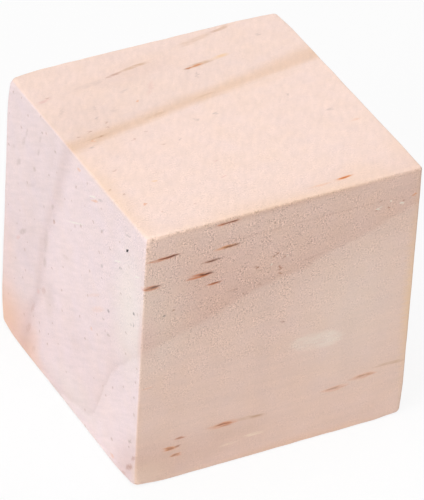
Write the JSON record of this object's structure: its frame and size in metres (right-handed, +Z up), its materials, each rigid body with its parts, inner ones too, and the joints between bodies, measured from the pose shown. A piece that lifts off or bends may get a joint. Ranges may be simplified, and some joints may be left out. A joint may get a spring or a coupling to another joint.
{
  "type": "wooden cube",
  "caption": "Solid softwood craft cube with lightly sanded arrises and worn corners, for building, spacing, stacking or gluing up.",
  "frame": {"origin": "centre of the lower face, on the surface that the cube stands on", "axes": "+X along the grain, +Y across the grain to the back, +Z up"},
  "size_m": [0.03, 0.03, 0.03],
  "materials": {
    "bare_pine": "bare sanded softwood, unfinished, with growth rings and short brown resin streaks"
  },
  "bodies": {
    "root": {"wooden_cube": "bare_pine"}
  },
  "joints": []
}
